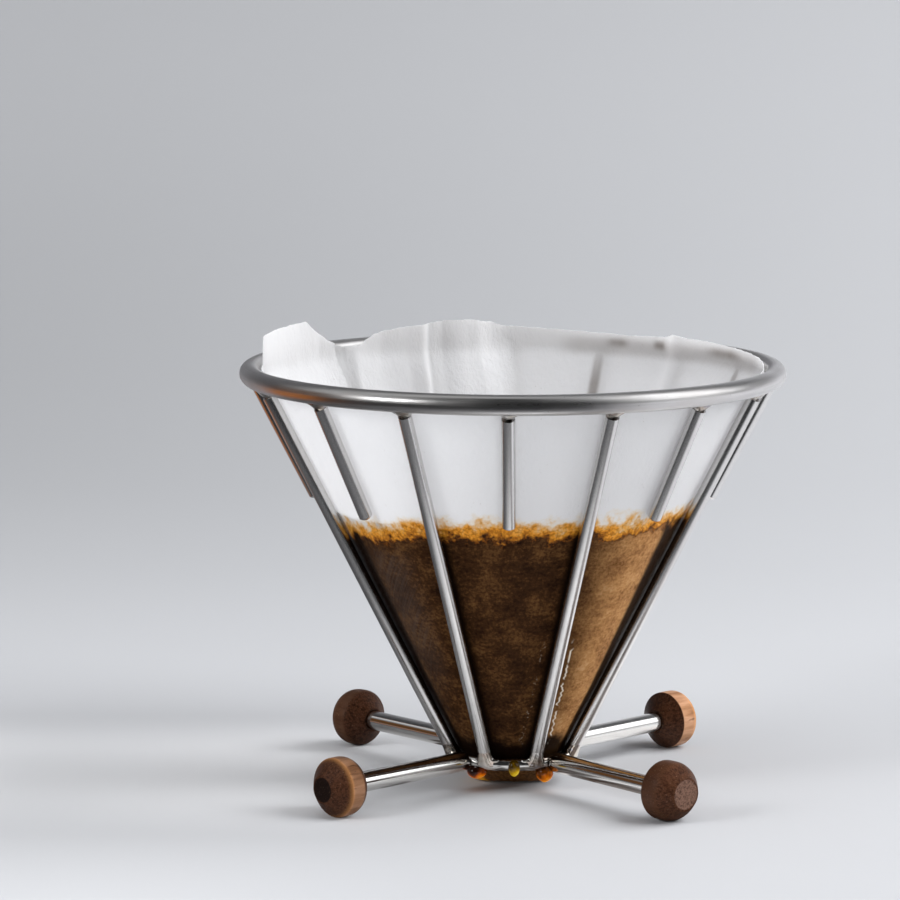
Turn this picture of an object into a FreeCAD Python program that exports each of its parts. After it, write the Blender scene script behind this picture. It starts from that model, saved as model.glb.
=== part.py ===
"""Pour over dripper: a welded steel wire basket on four legs with wooden knobs, and its paper filter.

Frame: +Z is up, -Y is the front, and the origin is on the basket's axis in the plane that the
knobs rest on. Millimetres throughout.
"""
import FreeCAD, Part
import os
import Sketcher
from FreeCAD import Placement, Rotation, Vector

# Numbers that stand for the two ends of a line, the centre of a circle and the origin of a sketch.
START, END, CENTRE = 1, 2, 3
ORIGIN = (-1, 1)
# Two places closer than this, in millimetres, are the same.
CLOSE = 0.001

# Driving dimensions, in millimetres, degrees or pieces.
SIZES = [
    ("ring_radius", 62.6, "top ring, axis to the middle of its rod"),
    ("ring_rod", 4.76, "diameter of the top ring's rod, 3/16 inch stock"),
    ("ring_rise", 92.3, "height of the top ring above the lower ring, middle to middle"),
    ("lower_radius", 14.55, "lower ring, axis to the middle of its rod"),
    ("thin_rod", 3.175, "diameter of the ribs and of the lower ring's rod, 1/8 inch stock"),
    ("rib_count", 8, "long ribs, and as many short ribs between them"),
    ("rib_gap", 1.3, "gap between a rib's flat top end and the top ring, filled by the weld"),
    ("short_rib_length", 34.0, "middle of the top ring to the tip of a short rib"),
    ("tip_bevel", 0.5, "bevel round the free tip of a short rib"),
    ("leg_rod", 4.76, "diameter of a leg, 3/16 inch stock"),
    ("leg_count", 4, "legs, level and evenly spaced but for the front right one"),
    ("leg_lean", 3, "how much nearer the front the front right leg is welded"),
    ("knob_radius", 7.0, "knob, and so the height of the legs above the table"),
    ("knob_reach", 53.2, "axis to the knob's inner crease"),
    ("knob_nose", 3.3, "length of the knob's inner cone"),
    ("knob_barrel", 4.5, "length of the knob's widest part"),
    ("knob_crown", 3.1, "length of the knob's outer cone"),
    ("knob_face_radius", 3.6, "flat outer face of the knob"),
    ("knob_nose_radius", 2.9, "inner end of the knob, round the leg"),
    ("inner_rounding", 0.35, "rounding of the knob's inner crease"),
    ("outer_rounding", 2.0, "rounding of the knob's outer crease"),
    ("face_rounding", 0.5, "rounding round the knob's flat face"),
    ("knob_socket", 8.0, "depth of the blind hole that holds the leg"),
    ("neck_radius", 1.25, "narrowest part of the weld between rib and top ring"),
    ("flare_radius", 2.0, "weld where it runs out on the top ring"),
    ("flare_taper", 0.75, "share of the flare's radius left below the ring's surface"),
    ("bead_width", 0.85, "how far a rib's lower weld bead stands out from it"),
    ("bead_length", 1.9, "how far a rib's lower weld bead runs along it"),
    ("leg_gap", 0.3, "gap between a leg's flat end and the lower ring, filled by the weld"),
    ("leg_weld_radius", 1.9, "weld between a leg's flat end and the lower ring"),
    ("paper", 0.5, "wall of the paper filter"),
    ("paper_gap", 0.3, "gap between the paper and the ribs, at right angles to the axis"),
    ("paper_rim_radius", 59.8, "upright edge of the paper, inside the top ring"),
    ("paper_rim_rise", 95.6, "height of the paper's edge above the lower ring"),
    ("tab_rise", 100.1, "height of the paper's pull tab above the lower ring"),
    ("tab_angle", 30, "part of the rim taken by the pull tab"),
    ("tab_start", 237, "start of the tab, counted from +X"),
    ("tip_drop", 5.4, "how far the paper's closed tip hangs below the lower ring"),
    ("tip_radius", 8.7, "half the width of the paper's closed tip"),
    ("coffee_rise", 61.0, "height of the coffee's surface above the lower ring"),
    ("coffee_gap", 0.05, "clearance between coffee and paper"),
]

# Expressions that several pieces share.
SLANT = "atan((sizes.ring_radius - sizes.lower_radius) / sizes.ring_rise)"
RIB_LENGTH = "sqrt(pow(sizes.ring_radius - sizes.lower_radius; 2) + pow(sizes.ring_rise; 2))"
RIB_START = "sizes.ring_rod / 2 + sizes.rib_gap"
LEG_START = "sizes.lower_radius + sizes.thin_rod / 2 + sizes.leg_gap"
# The paper's outside, where it passes the lower ring: one rib radius and one gap inside the ribs' middle line.
PAPER_FOOT = f"sizes.lower_radius - sizes.thin_rod / 2 / cos({SLANT}) - sizes.paper_gap"
PAPER_WALL = f"sizes.paper / cos({SLANT})"

doc = FreeCAD.newDocument("pour_over_dripper")


def add_sheet():
    """Put every driving dimension in the sheet, with its name and its meaning."""
    sheet = doc.addObject("Spreadsheet::Sheet", "sizes")
    for row, (name, value, meaning) in enumerate(SIZES, start=1):
        sheet.set(f"A{row}", name)
        sheet.set(f"B{row}", str(value))
        sheet.setAlias(f"B{row}", name)
        sheet.set(f"C{row}", meaning)
    doc.recompute()
    return sheet


def number(owner, expression):
    """The present value of an expression, as a plain number."""
    value = owner.evalExpression(expression)
    return float(getattr(value, "Value", value))


# ---- Sketches and features ------------------------------------------------------------------


def add_body(name, turn="0"):
    """A body whose own frame is at the lower ring's height, turned about the basket's axis."""
    body = doc.addObject("PartDesign::Body", name)
    body.Label = name
    body.AllowCompound = True
    body.Placement = Placement(Vector(0, 0, 0), Rotation(Vector(0, 0, 1), 0))
    body.setExpression("Placement.Base.z", "sizes.knob_radius")
    body.setExpression("Placement.Rotation.Angle", f"({turn}) * 1 deg")
    return body


def add_sketch(body, name):
    """An upright sketch in the body's XZ plane: across is X, up is Z."""
    sketch = body.newObject("Sketcher::SketchObject", name)
    plane = next(item for item in body.Origin.OriginFeatures if item.Role == "XZ_Plane")
    sketch.AttachmentSupport = [(plane, "")]
    sketch.MapMode = "FlatFace"
    return sketch


def bind(sketch, kind, places, expression):
    """Add a dimension and tie its value to an expression."""
    constraint = Sketcher.Constraint(kind, *places, number(sketch, expression))
    index = sketch.addConstraint(constraint)
    sketch.setExpression(f"Constraints[{index}]", expression)


def bind_point(sketch, geometry, point, corner):
    """Hold a point at a corner, a pair of expressions (across, up)."""
    bind(sketch, "DistanceX", (*ORIGIN, geometry, point), corner[0])
    bind(sketch, "DistanceY", (*ORIGIN, geometry, point), corner[1])


def place(sketch, corner):
    """A corner's present place in the sketch."""
    return Vector(number(sketch, corner[0]), number(sketch, corner[1]), 0)


def draw_outline(sketch, corners):
    """Draw a closed outline of straight lines through the corners."""
    points = [place(sketch, corner) for corner in corners]
    following = points[1:] + points[:1]
    lines = []
    for begin, finish in zip(points, following):
        lines.append(sketch.addGeometry(Part.LineSegment(begin, finish), False))
    for line, next_line in zip(lines, lines[1:] + lines[:1]):
        sketch.addConstraint(Sketcher.Constraint("Coincident", line, END, next_line, START))
    for line, corner in zip(lines, corners):
        bind_point(sketch, line, START, corner)


def draw_axis(sketch, begin, finish):
    """Draw a construction line, the axis of a rod."""
    line = sketch.addGeometry(Part.LineSegment(place(sketch, begin), place(sketch, finish)), True)
    bind_point(sketch, line, START, begin)
    bind_point(sketch, line, END, finish)


def draw_circle(sketch, centre, diameter):
    """Draw the round section of a rod."""
    shape = Part.Circle(place(sketch, centre), Vector(0, 0, 1), number(sketch, diameter) / 2)
    circle = sketch.addGeometry(shape, False)
    bind_point(sketch, circle, CENTRE, centre)
    bind(sketch, "Diameter", (circle,), diameter)


def add_turned(body, kind, sketch, axis="V_Axis", angle=360):
    """Turn a sketch about an axis, as a Revolution that adds or a Groove that cuts."""
    before = body.Shape.Volume if kind == "Groove" else 0
    feature = body.newObject(f"PartDesign::{kind}", f"{kind.lower()}_{sketch.Name}")
    feature.Profile = sketch
    feature.ReferenceAxis = (sketch, [axis])
    feature.Angle = angle
    body.Tip = feature
    doc.recompute()
    if kind == "Groove" and not body.Shape.Volume < before:
        raise RuntimeError(f"{body.Label}: the cut {sketch.Name} removes nothing")
    return feature


def add_polar(body, feature, count):
    """Repeat a feature evenly round the basket's axis."""
    pattern = body.newObject("PartDesign::PolarPattern", "round_the_axis")
    pattern.Originals = [feature]
    pattern.Axis = (feature.Profile[0], ["V_Axis"])
    pattern.Angle = 360
    pattern.setExpression("Occurrences", count)
    body.Tip = pattern
    doc.recompute()


def on_rib(distance, radius):
    """A corner at a distance down a rib from the top ring's middle, and a radius out from the rib."""
    across = f"sizes.ring_radius - ({distance}) * sin({SLANT}) + ({radius}) * cos({SLANT})"
    up = f"sizes.ring_rise - ({distance}) * cos({SLANT}) - ({radius}) * sin({SLANT})"
    return across, up


def cut_rod(body, name, centre, diameter):
    """Cope the body round a ring's rod, so that it sits on the rod without overlap."""
    sketch = add_sketch(body, name)
    draw_circle(sketch, centre, diameter)
    add_turned(body, "Groove", sketch)


def cut_top_ring(body):
    cut_rod(body, "top_ring_saddle", ("sizes.ring_radius", "sizes.ring_rise"), "sizes.ring_rod")


def cut_lower_ring(body):
    cut_rod(body, "lower_ring_saddle", ("sizes.lower_radius", "0"), "sizes.thin_rod")


def cut_inner_half(body):
    """Keep only what lies outside the cone of the ribs' middle lines, so that the paper's seat is clear."""
    sketch = add_sketch(body, "inner_cone")
    below = "-2 * sizes.thin_rod"
    above = "sizes.ring_rise / 2"
    corners = [
        ("0", below),
        (f"sizes.lower_radius + ({below}) * tan({SLANT})", below),
        (f"sizes.lower_radius + {above} * tan({SLANT})", above),
        ("0", above),
    ]
    draw_outline(sketch, corners)
    add_turned(body, "Groove", sketch)


# ---- Steel ----------------------------------------------------------------------------------


def add_ring(name, centre, diameter):
    """A ring bent from round rod."""
    body = add_body(name)
    sketch = add_sketch(body, f"{name}_section")
    draw_circle(sketch, centre, diameter)
    add_turned(body, "Revolution", sketch)
    return body


def add_long_rib(name, turn):
    """A rod from just under the top ring down to the lower ring, coped where it meets that ring."""
    body = add_body(name, turn)
    sketch = add_sketch(body, f"{name}_outline")
    draw_axis(sketch, on_rib("0", "0"), on_rib(RIB_LENGTH, "0"))
    rod = "sizes.thin_rod / 2"
    foot = f"{RIB_LENGTH} - sizes.tip_bevel"
    draw_outline(sketch, [on_rib(RIB_START, "0"), on_rib(RIB_START, rod), on_rib(foot, rod), on_rib(foot, "0")])
    add_turned(body, "Revolution", sketch, "Axis0")
    cut_lower_ring(body)
    return body


def add_short_rib(name, turn):
    """A rod that hangs from the top ring along the paper and ends in a bevelled free tip."""
    body = add_body(name, turn)
    sketch = add_sketch(body, f"{name}_outline")
    draw_axis(sketch, on_rib("0", "0"), on_rib(RIB_LENGTH, "0"))
    rod = "sizes.thin_rod / 2"
    tip = "sizes.short_rib_length"
    corners = [
        on_rib(RIB_START, "0"),
        on_rib(RIB_START, rod),
        on_rib(f"{tip} - sizes.tip_bevel", rod),
        on_rib(tip, f"{rod} - sizes.tip_bevel"),
        on_rib(tip, "0"),
    ]
    draw_outline(sketch, corners)
    add_turned(body, "Revolution", sketch, "Axis0")
    return body


def add_leg(name, turn):
    """A level rod from just outside the lower ring into the knob's blind hole."""
    body = add_body(name, turn)
    sketch = add_sketch(body, f"{name}_outline")
    inner = LEG_START
    outer = "sizes.knob_reach - sizes.knob_nose + sizes.knob_socket"
    rod = "sizes.leg_rod / 2"
    bevel = "sizes.tip_bevel"
    corners = [
        (inner, "0"),
        (inner, rod),
        (f"{outer} - {bevel}", rod),
        (outer, f"{rod} - {bevel}"),
        (outer, "0"),
    ]
    draw_outline(sketch, corners)
    add_turned(body, "Revolution", sketch, "H_Axis")
    return body


# ---- Welds ----------------------------------------------------------------------------------


def add_rib_head_welds():
    """The flared necks that join every rib's flat end to the underside of the top ring."""
    body = add_body("rib_head_welds")
    sketch = add_sketch(body, "neck_outline")
    draw_axis(sketch, on_rib("0", "0"), on_rib(RIB_LENGTH, "0"))
    surface = "sizes.ring_rod / 2"
    corners = [
        on_rib(f"{surface} / 2", "0"),
        on_rib(f"{surface} / 2", "sizes.flare_radius"),
        on_rib(surface, "sizes.flare_radius * sizes.flare_taper"),
        on_rib(f"{surface} + sizes.rib_gap / 2", "sizes.neck_radius"),
        on_rib(RIB_START, "sizes.neck_radius"),
        on_rib(RIB_START, "0"),
    ]
    draw_outline(sketch, corners)
    neck = add_turned(body, "Revolution", sketch, "Axis0")
    add_polar(body, neck, "2 * sizes.rib_count")
    cut_top_ring(body)
    return body


def add_rib_foot_welds():
    """The beads on the outer side of the long ribs' lower ends, clear of the paper."""
    body = add_body("rib_foot_welds", "180 / sizes.rib_count")
    sketch = add_sketch(body, "foot_bead_outline")
    draw_axis(sketch, on_rib("0", "0"), on_rib(RIB_LENGTH, "0"))
    rod = "sizes.thin_rod / 2"
    bead = f"{rod} + sizes.bead_width"
    foot = f"{RIB_LENGTH} - sizes.tip_bevel"
    corners = [
        on_rib(foot, rod),
        on_rib(foot, bead),
        on_rib(f"{foot} - sizes.bead_length / 2", bead),
        on_rib(f"{foot} - {rod} - sizes.bead_length", rod),
    ]
    draw_outline(sketch, corners)
    bead_ring = add_turned(body, "Revolution", sketch, "Axis0")
    add_polar(body, bead_ring, "sizes.rib_count")
    cut_lower_ring(body)
    cut_inner_half(body)
    return body


def add_leg_weld(name, turn):
    """The short plug of weld that joins a leg's flat end to the outside of the lower ring."""
    body = add_body(name, turn)
    sketch = add_sketch(body, f"{name}_outline")
    middle = "sizes.lower_radius"
    corners = [
        (middle, "0"),
        (middle, "sizes.leg_weld_radius"),
        (LEG_START, "sizes.leg_weld_radius"),
        (LEG_START, "0"),
    ]
    draw_outline(sketch, corners)
    add_turned(body, "Revolution", sketch, "H_Axis")
    cut_lower_ring(body)
    return body


# ---- Wood -----------------------------------------------------------------------------------


def round_crease(body, reach, radius):
    """Round the knob's circular edge whose centre lies at a distance from the basket's axis."""
    before = body.Tip
    place_along = number(body, reach)
    names = []
    for index, edge in enumerate(before.Shape.Edges, start=1):
        if isinstance(edge.Curve, Part.Circle) and abs(edge.Curve.Center.x - place_along) < CLOSE:
            names.append(f"Edge{index}")
    fillet = body.newObject("PartDesign::Fillet", "rounded_crease")
    fillet.Base = (before, names)
    fillet.setExpression("Radius", radius)
    body.Tip = fillet
    doc.recompute()


def add_knob(name, turn):
    """A turned wooden knob: two cones and a barrel, rounded at the creases, with a blind hole."""
    body = add_body(name, turn)
    sketch = add_sketch(body, f"{name}_outline")
    crease = "sizes.knob_reach"
    back = f"{crease} - sizes.knob_nose"
    outer_crease = f"{crease} + sizes.knob_barrel"
    front = f"{outer_crease} + sizes.knob_crown"
    socket_end = f"{back} + sizes.knob_socket"
    rod = "sizes.leg_rod / 2"
    corners = [
        (socket_end, "0"),
        (socket_end, rod),
        (back, rod),
        (back, "sizes.knob_nose_radius"),
        (crease, "sizes.knob_radius"),
        (outer_crease, "sizes.knob_radius"),
        (front, "sizes.knob_face_radius"),
        (front, "0"),
    ]
    draw_outline(sketch, corners)
    add_turned(body, "Revolution", sketch, "H_Axis")
    round_crease(body, crease, "sizes.inner_rounding")
    round_crease(body, outer_crease, "sizes.outer_rounding")
    round_crease(body, front, "sizes.face_rounding")
    return body


# ---- Paper and coffee -----------------------------------------------------------------------


def cone_radius(offset, rise):
    """Radius at a height above the lower ring on a cone parallel to the ribs."""
    return f"{PAPER_FOOT} - ({offset}) + ({rise}) * tan({SLANT})"


def add_paper_filter():
    """The cone of paper, closed at its tip, upright inside the top ring, with one pull tab."""
    body = add_body("paper_filter")
    sketch = add_sketch(body, "paper_outline")
    bend_rise = f"(sizes.paper_rim_radius - ({PAPER_FOOT})) / tan({SLANT})"
    wall = PAPER_WALL
    corners = [
        ("0", "-sizes.tip_drop"),
        ("sizes.tip_radius", "-sizes.tip_drop"),
        (PAPER_FOOT, "0"),
        ("sizes.paper_rim_radius", bend_rise),
        ("sizes.paper_rim_radius", "sizes.tab_rise"),
        (f"sizes.paper_rim_radius - {wall}", "sizes.tab_rise"),
        (f"sizes.paper_rim_radius - {wall}", bend_rise),
        (f"{PAPER_FOOT} - {wall}", "0"),
        (f"sizes.tip_radius - {wall}", "-sizes.tip_drop + sizes.paper"),
        ("0", "-sizes.tip_drop + sizes.paper"),
    ]
    draw_outline(sketch, corners)
    add_turned(body, "Revolution", sketch)
    trim = add_sketch(body, "rim_trim")
    outside = "sizes.paper_rim_radius + sizes.paper"
    inside = f"sizes.paper_rim_radius - {wall} - sizes.paper"
    above = "sizes.tab_rise + sizes.paper"
    corners = [
        (inside, "sizes.paper_rim_rise"),
        (outside, "sizes.paper_rim_rise"),
        (outside, above),
        (inside, above),
    ]
    draw_outline(trim, corners)
    groove = add_turned(body, "Groove", trim)
    groove.setExpression("Angle", "(360 - sizes.tab_angle) * 1 deg")
    body.setExpression("Placement.Rotation.Angle", "sizes.tab_start * 1 deg")
    doc.recompute()
    return body


def add_coffee():
    """Ground coffee and water standing in the paper."""
    body = add_body("coffee_slurry")
    sketch = add_sketch(body, "coffee_outline")
    inset = f"{PAPER_WALL} + sizes.coffee_gap"
    floor = "-sizes.tip_drop + sizes.paper + sizes.coffee_gap"
    corners = [
        ("0", floor),
        (f"sizes.tip_radius - ({inset})", floor),
        (cone_radius(inset, "0"), "0"),
        (cone_radius(inset, "sizes.coffee_rise"), "sizes.coffee_rise"),
        ("0", "sizes.coffee_rise"),
    ]
    draw_outline(sketch, corners)
    add_turned(body, "Revolution", sketch)
    return body


# ---- The dripper ----------------------------------------------------------------------------

# The legs in order from +X. The first stands half a step round.
LEG_SIDES = ("back_right", "back_left", "front_left", "front_right")


def leg_turn(index):
    """A leg's turn from +X. They are welded by eye, and the last one stands a little nearer the front."""
    turn = f"({index} + 0.5) * 360 / sizes.leg_count"
    if index == len(LEG_SIDES) - 1:
        turn += " - sizes.leg_lean"
    return turn


def build():
    """Every piece, in the order in which the dripper is put together."""
    sheet = add_sheet()
    pieces = [
        add_ring("top_ring", ("sizes.ring_radius", "sizes.ring_rise"), "sizes.ring_rod"),
        add_ring("lower_ring", ("sizes.lower_radius", "0"), "sizes.thin_rod"),
    ]
    for index in range(int(sheet.rib_count)):
        pieces.append(add_long_rib(f"long_rib_{index + 1}", f"({index} + 0.5) * 360 / sizes.rib_count"))
        pieces.append(add_short_rib(f"short_rib_{index + 1}", f"{index} * 360 / sizes.rib_count"))
    pieces.append(add_rib_head_welds())
    pieces.append(add_rib_foot_welds())
    for index, side in enumerate(LEG_SIDES):
        turn = leg_turn(index)
        pieces.append(add_leg(f"leg_{side}", turn))
        pieces.append(add_leg_weld(f"leg_weld_{side}", turn))
        pieces.append(add_knob(f"knob_{side}", turn))
    pieces.append(add_paper_filter())
    pieces.append(add_coffee())
    return pieces


def check(pieces):
    """Stop if any object failed or any piece isn't a sound solid."""
    for item in doc.Objects:
        if "Invalid" in item.State or "Error" in item.State:
            raise RuntimeError(f"{item.Name} failed: {item.State}")
    for piece in pieces:
        shape = piece.Shape
        if shape.isNull() or not shape.isValid() or not shape.Solids:
            raise RuntimeError(f"{piece.Label} isn't a valid solid")


def write(pieces):
    """Write each piece's shape to a file named after it."""
    os.makedirs("parts", exist_ok=True)
    for piece in pieces:
        piece.Shape.exportStep(f"parts/{piece.Label}.step")
        box = piece.Shape.BoundBox
        print(f"{piece.Label:16s} solids {len(piece.Shape.Solids):2d} volume {piece.Shape.Volume:10.2f}"
              f" z {box.ZMin:7.2f} to {box.ZMax:7.2f}")


dripper = build()
doc.recompute()
check(dripper)
write(dripper)
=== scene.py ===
import math
import random

import bmesh
import bpy
import numpy as np
from mathutils import Matrix, Vector, noise


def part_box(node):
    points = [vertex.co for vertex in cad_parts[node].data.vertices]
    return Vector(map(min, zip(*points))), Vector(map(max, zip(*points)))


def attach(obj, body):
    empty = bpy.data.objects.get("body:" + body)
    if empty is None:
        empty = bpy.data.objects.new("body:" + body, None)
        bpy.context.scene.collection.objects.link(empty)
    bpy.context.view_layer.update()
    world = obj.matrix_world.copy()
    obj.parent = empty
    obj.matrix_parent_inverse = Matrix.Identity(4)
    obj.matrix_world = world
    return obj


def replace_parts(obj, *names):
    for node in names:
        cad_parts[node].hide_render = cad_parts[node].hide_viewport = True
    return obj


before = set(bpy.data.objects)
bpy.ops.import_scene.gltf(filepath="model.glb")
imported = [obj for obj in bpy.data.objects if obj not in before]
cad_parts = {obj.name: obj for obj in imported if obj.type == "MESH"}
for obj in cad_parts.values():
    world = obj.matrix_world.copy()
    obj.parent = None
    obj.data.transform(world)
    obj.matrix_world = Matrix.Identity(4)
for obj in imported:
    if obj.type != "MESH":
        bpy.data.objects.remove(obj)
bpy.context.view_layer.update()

MM = 0.001
UP = Vector((0, 0, 1))
BLACK = (0.0, 0.0, 0.0)
SEED = 7

# ---- Sizes read from the frame, in metres


def middle_and_rod(node):
    """Radius and height of a ring's middle line, and the radius of its rod."""
    low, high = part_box(node)
    rod = (high.z - low.z) / 2
    return high.x - rod, (high.z + low.z) / 2, rod


def places(data):
    """A mesh's vertices, one row each."""
    return np.array([vertex.co for vertex in data.vertices])


def outward(node):
    """The level direction from the basket's axis to a node."""
    centre = places(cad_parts[node].data).mean(axis=0)
    return Vector((centre[0], centre[1], 0)).normalized()


def reach_along(node, direction):
    """Where a node begins and ends along a level direction from the basket's axis."""
    along = places(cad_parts[node].data) @ np.array(direction)
    return along.min(), along.max()


RING_RADIUS, RING_HEIGHT, RING_ROD = middle_and_rod("top_ring")
LOWER_RADIUS, LOWER_HEIGHT, THIN_ROD = middle_and_rod("lower_ring")
SLANT = math.atan2(RING_RADIUS - LOWER_RADIUS, RING_HEIGHT - LOWER_HEIGHT)
PAPER_RIM_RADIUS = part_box("paper_filter")[1].x
TIP_HEIGHT = 0.6 * MM
PAPER_FOOT_RADIUS = LOWER_RADIUS - THIN_ROD / math.cos(SLANT) - 0.3 * MM
COFFEE_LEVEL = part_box("coffee_slurry")[1].z
SHORT_TIP_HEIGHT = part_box("short_rib_1")[0].z
SIDES = ("front_left", "front_right", "back_right", "back_left")
RIB_COUNT = 8
LONG_RIBS = [math.radians((k + 0.5) * 360 / RIB_COUNT) for k in range(RIB_COUNT)]
SHORT_RIBS = [math.radians(k * 360 / RIB_COUNT) for k in range(RIB_COUNT)]

# ---- Node helpers


class Value:
    """A number or a colour in a node tree. Ordinary sums on it add the nodes that do them."""

    def __init__(self, graph, socket):
        self.graph = graph
        self.socket = socket

    def __add__(self, other):
        return self.graph.math("ADD", self, other)

    def __sub__(self, other):
        return self.graph.math("SUBTRACT", self, other)

    def __mul__(self, other):
        return self.graph.math("MULTIPLY", self, other)

    def __neg__(self):
        return self * -1.0

    def __abs__(self):
        return self.graph.math("ABSOLUTE", self)


class Graph:
    """Short names for building a node tree."""

    def __init__(self, tree):
        self.tree = tree
        tree.nodes.clear()

    def add(self, kind, inputs=None, **settings):
        node = self.tree.nodes.new(kind)
        for name, value in settings.items():
            setattr(node, name, value)
        for name, value in (inputs or {}).items():
            self.feed(node.inputs[name], value)
        return node

    def value(self, kind, inputs=None, output=0, **settings):
        """One output of a new node."""
        return Value(self, self.add(kind, inputs, **settings).outputs[output])

    def feed(self, socket, value):
        if isinstance(value, Value):
            self.tree.links.new(value.socket, socket)
        elif socket.type == "RGBA":
            socket.default_value = (*value, 1)
        else:
            socket.default_value = value

    def math(self, operation, a, b=0.0):
        return self.value("ShaderNodeMath", {0: a, 1: b}, operation=operation)

    def larger(self, a, b):
        return self.math("MAXIMUM", a, b)

    def vector_math(self, operation, a, b):
        return self.value("ShaderNodeVectorMath", {0: a, 1: b}, operation=operation)

    def spread(self, value, low, high, to_low=0.0, to_high=1.0, curve="LINEAR"):
        """A straight map from one span to another, held at its ends."""
        inputs = {"Value": value, "From Min": low, "From Max": high, "To Min": to_low, "To Max": to_high}
        return self.value("ShaderNodeMapRange", inputs, interpolation_type=curve)

    def ease(self, value, low, high, *levels):
        """A smooth step from one level to another, 0 and 1 unless they are given."""
        return self.spread(value, low, high, *levels, curve="SMOOTHSTEP")

    def between(self, value, start, full, fade, end):
        """1 from full to fade, and 0 before start and after end."""
        return self.ease(value, start, full) * self.ease(value, end, fade)

    def turn_ease(self, azimuth, low, high, *levels):
        """The smooth step, between two turns in degrees."""
        return self.ease(azimuth, math.radians(low), math.radians(high), *levels)

    def sector(self, azimuth, *limits):
        """The same as between, for turns in degrees."""
        return self.between(azimuth, *(math.radians(limit) for limit in limits))

    def noise(self, vector, scale, detail=3.0, roughness=0.5, distortion=0.0):
        inputs = {"Vector": vector, "Scale": scale, "Detail": detail}
        inputs.update({"Roughness": roughness, "Distortion": distortion})
        return self.value("ShaderNodeTexNoise", inputs, "Fac")

    def noise_warp(self, vector, scale, reach):
        """The same place, pushed about by coarse noise."""
        push = self.value("ShaderNodeTexNoise", {"Vector": vector, "Scale": scale, "Detail": 2.0}, "Color")
        centred = self.vector_math("SUBTRACT", push, (0.5, 0.5, 0.5))
        return self.vector_math("ADD", vector, self.vector_math("MULTIPLY", centred, (reach * 2,) * 3))

    def cells(self, vector, scale):
        return self.value("ShaderNodeTexVoronoi", {"Vector": vector, "Scale": scale}, "Distance")

    def ramp(self, value, stops):
        """Colours along a value, each stop a position with red, green and blue."""
        node = self.add("ShaderNodeValToRGB", {"Fac": value})
        elements = node.color_ramp.elements
        while len(elements) < len(stops):
            elements.new(0.5)
        for element, (position, *colour) in zip(elements, stops):
            element.position = position
            element.color = (*colour, 1)
        return Value(self, node.outputs["Color"])

    def mix(self, factor, a, b, blend="MIX"):
        inputs = {0: factor, 6: a, 7: b}
        return self.value("ShaderNodeMix", inputs, 2, data_type="RGBA", blend_type=blend)

    def combine(self, x, y, z):
        return self.value("ShaderNodeCombineXYZ", {0: x, 1: y, 2: z})

    def bump(self, height, distance, strength=1.0, normal=None):
        inputs = {"Height": height, "Distance": distance, "Strength": strength}
        if normal is not None:
            inputs["Normal"] = normal
        return self.value("ShaderNodeBump", inputs)

    def stored(self, name):
        """A number kept on the mesh's vertices."""
        return self.value("ShaderNodeAttribute", None, "Fac", attribute_name=name)

    def mirrored(self):
        """1 where a reflection is looking, such as the steel's, and 0 for the camera."""
        return self.value("ShaderNodeLightPath", None, "Is Glossy Ray")

    def split(self, vector):
        parts = self.add("ShaderNodeSeparateXYZ", {0: vector}).outputs
        return [Value(self, part) for part in parts]

    def place(self, kind="Object"):
        """Coordinates, whole and split."""
        vector = self.value("ShaderNodeTexCoord", None, kind)
        return vector, *self.split(vector)

    def azimuth(self, x, y):
        """The turn from the front, towards the right."""
        return self.math("ARCTAN2", x, -y)

    def distance(self, x, y):
        return self.math("SQRT", x * x + y * y)

    def cylinder(self):
        """Object coordinates, then radius, azimuth and height round the basket's axis."""
        vector, x, y, z = self.place()
        return vector, self.distance(x, y), self.azimuth(x, y), z


def new_material(name):
    """The graph of a new material."""
    material = bpy.data.materials.new(name)
    material.use_nodes = True
    graph = Graph(material.node_tree)
    graph.material = material
    return graph


def finished(graph, shader):
    """The graph's material, with its shader in place."""
    graph.add("ShaderNodeOutputMaterial", {"Surface": shader})
    return graph.material


def principled(graph, inputs):
    return finished(graph, graph.value("ShaderNodeBsdfPrincipled", inputs))


# ---- Steel


def steel(name, run, roughness, tint, polish=0.5):
    """Drawn steel rod with fine lines along it. run is the way the rod runs: ring, rib or leg."""
    graph = new_material(name)
    vector, radius, azimuth, height = graph.cylinder()
    arc = azimuth * graph.larger(radius, 0.001)
    if run == "ring":
        lines = graph.combine(arc * 0.02, radius, height)
    elif run == "rib":
        lines = graph.combine(arc, radius - height * math.tan(SLANT), height * 0.02)
    else:
        lines = graph.combine(arc, height, radius * 0.02)
    fine = graph.noise(lines, 4200, 4, 0.7)
    broad = graph.noise(lines, 900, 3, 0.6)
    smudge = graph.noise(vector, 70, 4, 0.6)
    pits = graph.ease(graph.noise(vector, 1300, 3, 0.55), 0.7, 0.78)
    uneven = min(1.0, 2 * polish)
    sheen = graph.spread(broad, 0.3, 0.7, -0.05 * uneven, 0.05 * uneven) + roughness
    sheen = sheen + graph.spread(smudge, 0.35, 0.7, -0.04 * uneven, 0.06 * uneven)
    colour = graph.mix(graph.spread(fine, 0.3, 0.7), tint, tuple(c * 0.84 for c in tint))
    colour = graph.mix(graph.spread(smudge, 0.4, 0.75, 0, 0.3 * uneven), colour, (0.5, 0.46, 0.42))
    colour = graph.mix(pits * (0.9 * polish), colour, (0.12, 0.1, 0.09))
    relief = graph.bump(fine, 0.02 * MM, 0.5 * polish)
    return principled(graph, {
        "Base Color": colour,
        "Metallic": 1.0,
        "Roughness": graph.larger(sheen, 0.05),
        "Normal": graph.bump(pits, -0.03 * MM, polish, relief),
    })


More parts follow.
